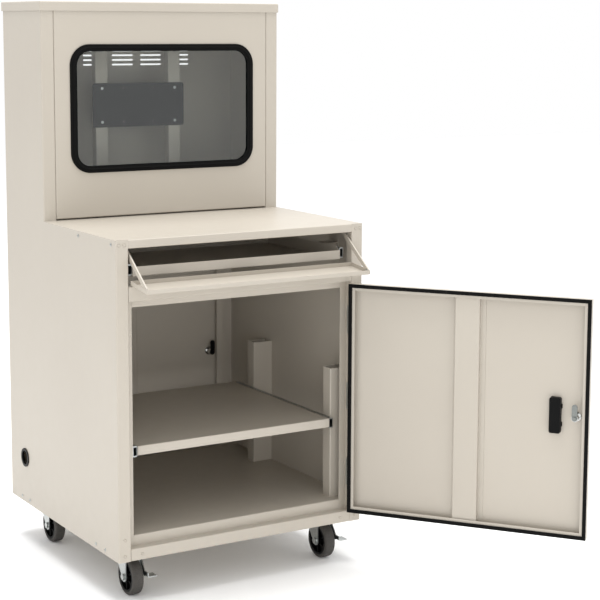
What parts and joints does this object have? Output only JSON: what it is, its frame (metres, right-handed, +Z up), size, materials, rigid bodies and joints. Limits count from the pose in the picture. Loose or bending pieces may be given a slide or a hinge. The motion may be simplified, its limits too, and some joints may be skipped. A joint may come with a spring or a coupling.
{
  "type": "computer cabinet",
  "caption": "Beige steel computer cabinet on casters: windowed monitor housing over a worktop, drop flap with keyboard tray, sliding printer shelf, lockable front and rear doors.",
  "frame": {"origin": "on the floor under the middle of the cabinet body", "axes": "+X to the right seen from the front, +Y to the back, +Z up"},
  "size_m": [1.1336, 1.3338, 1.594],
  "materials": {
    "powder_coat": "satin putty powder coat, fine orange peel",
    "zinc_plate": "bright zinc plate",
    "black_steel": "black oxide",
    "seal_rubber": "black extruded rubber",
    "clear_acrylic": "clear acrylic sheet",
    "black_plastic": "moulded black plastic",
    "lock_chrome": "bright plate",
    "tread_rubber": "dark grey rubber tread"
  },
  "bodies": {
    "cabinet": {"left_side_panel": "powder_coat", "right_side_panel": "powder_coat", "worktop": "powder_coat", "monitor_floor": "powder_coat", "top_cap": "powder_coat", "monitor_panel": "powder_coat", "upper_rear_panel": "powder_coat", "middle_rail": "powder_coat", "kick_rail": "powder_coat", "rear_rails": "powder_coat", "floor_panel": "powder_coat", "caster_channels": "powder_coat", "monitor_rails": "powder_coat", "tray_slide_brackets": "powder_coat", "shelf_slide_posts": "powder_coat", "tray_slides_fixed": "zinc_plate", "shelf_slides_fixed": "zinc_plate", "front_hinge_frame_leaves": "zinc_plate", "rear_hinge_frame_leaves": "zinc_plate", "flap_hinge_frame_leaves": "zinc_plate", "caster_plates": "zinc_plate", "cabinet_screws": "zinc_plate", "monitor_plate": "black_steel", "window_gasket": "seal_rubber", "window_pane": "clear_acrylic", "cable_grommet": "black_plastic"},
    "front_door": {"front_door_panel": "powder_coat", "front_door_gasket": "seal_rubber", "front_door_stiffener": "powder_coat", "front_door_pull": "black_plastic", "front_door_lock": "lock_chrome", "front_hinge_door_leaves": "zinc_plate"},
    "front_cam": {"front_lock_cam": "zinc_plate"},
    "flap": {"keyboard_flap": "powder_coat", "flap_stays": "powder_coat", "flap_hinge_door_leaves": "zinc_plate"},
    "keyboard_drawer": {"keyboard_tray": "powder_coat", "tray_slides_moving": "zinc_plate"},
    "shelf_drawer": {"printer_shelf": "powder_coat", "shelf_slides_moving": "zinc_plate"},
    "rear_door": {"rear_door_panel": "powder_coat", "rear_door_stiffener": "powder_coat", "rear_door_lock": "lock_chrome", "rear_hinge_door_leaves": "zinc_plate"},
    "rear_cam": {"rear_lock_cam": "black_steel"},
    "fork_front_left": {"caster_front_left_fork": "zinc_plate"},
    "wheel_front_left": {"caster_front_left_wheel": "black_plastic", "caster_front_left_tyre": "tread_rubber"},
    "pedal_front_left": {"caster_front_left_pedal": "zinc_plate"},
    "fork_front_right": {"caster_front_right_fork": "zinc_plate"},
    "wheel_front_right": {"caster_front_right_wheel": "black_plastic", "caster_front_right_tyre": "tread_rubber"},
    "pedal_front_right": {"caster_front_right_pedal": "zinc_plate"},
    "fork_rear_left": {"caster_rear_left_fork": "zinc_plate"},
    "wheel_rear_left": {"caster_rear_left_wheel": "black_plastic", "caster_rear_left_tyre": "tread_rubber"},
    "fork_rear_right": {"caster_rear_right_fork": "zinc_plate"},
    "wheel_rear_right": {"caster_rear_right_wheel": "black_plastic", "caster_rear_right_tyre": "tread_rubber"}
  },
  "joints": [
    {"name": "front_door_swing", "type": "hinge", "parent": "cabinet", "child": "front_door", "pos_m": [0.3425, -0.3835, 0.4865], "axis": [0, 0, 1], "range_deg": [-127, 45]},
    {"name": "front_lock_turn", "type": "hinge", "parent": "front_door", "child": "front_cam", "pos_m": [0.72878, -0.90192, 0.4925], "axis": [0.7986, 0.6018, 0], "range_deg": [0, 90]},
    {"name": "flap_swing", "type": "hinge", "parent": "cabinet", "child": "flap", "pos_m": [0, -0.3835, 0.8585], "axis": [1, 0, 0], "range_deg": [-97, 0]},
    {"name": "keyboard_tray_slide", "type": "slide", "parent": "cabinet", "child": "keyboard_drawer", "axis": [0, -1, 0], "range_m": [0, 0.28]},
    {"name": "printer_shelf_slide", "type": "slide", "parent": "cabinet", "child": "shelf_drawer", "axis": [0, -1, 0], "range_m": [0, 0.38]},
    {"name": "rear_door_swing", "type": "hinge", "parent": "cabinet", "child": "rear_door", "pos_m": [-0.3325, 0.3835, 0.4865], "axis": [0, 0, 1], "range_deg": [0, 110]},
    {"name": "rear_lock_turn", "type": "hinge", "parent": "rear_door", "child": "rear_cam", "pos_m": [0.294, 0.38, 0.4925], "axis": [0, 1, 0], "range_deg": [0, 90]},
    {"name": "swivel_front_left", "type": "hinge", "parent": "cabinet", "child": "fork_front_left", "pos_m": [-0.305, -0.265, 0.1], "axis": [0, 0, 1], "continuous": true},
    {"name": "roll_front_left", "type": "hinge", "parent": "fork_front_left", "child": "wheel_front_left", "pos_m": [-0.305, -0.293, 0.051], "axis": [1, 0, 0], "continuous": true},
    {"name": "brake_front_left", "type": "hinge", "parent": "fork_front_left", "child": "pedal_front_left", "pos_m": [-0.305, -0.295, 0.109], "axis": [1, 0, 0], "range_deg": [0, 12]},
    {"name": "swivel_front_right", "type": "hinge", "parent": "cabinet", "child": "fork_front_right", "pos_m": [0.305, -0.265, 0.1], "axis": [0, 0, 1], "continuous": true},
    {"name": "roll_front_right", "type": "hinge", "parent": "fork_front_right", "child": "wheel_front_right", "pos_m": [0.305, -0.293, 0.051], "axis": [1, 0, 0], "continuous": true},
    {"name": "brake_front_right", "type": "hinge", "parent": "fork_front_right", "child": "pedal_front_right", "pos_m": [0.305, -0.295, 0.109], "axis": [1, 0, 0], "range_deg": [0, 12]},
    {"name": "swivel_rear_left", "type": "hinge", "parent": "cabinet", "child": "fork_rear_left", "pos_m": [-0.305, 0.265, 0.1], "axis": [0, 0, 1], "continuous": true},
    {"name": "roll_rear_left", "type": "hinge", "parent": "fork_rear_left", "child": "wheel_rear_left", "pos_m": [-0.305, 0.237, 0.051], "axis": [1, 0, 0], "continuous": true},
    {"name": "swivel_rear_right", "type": "hinge", "parent": "cabinet", "child": "fork_rear_right", "pos_m": [0.305, 0.265, 0.1], "axis": [0, 0, 1], "continuous": true},
    {"name": "roll_rear_right", "type": "hinge", "parent": "fork_rear_right", "child": "wheel_rear_right", "pos_m": [0.305, 0.237, 0.051], "axis": [1, 0, 0], "continuous": true}
  ]
}
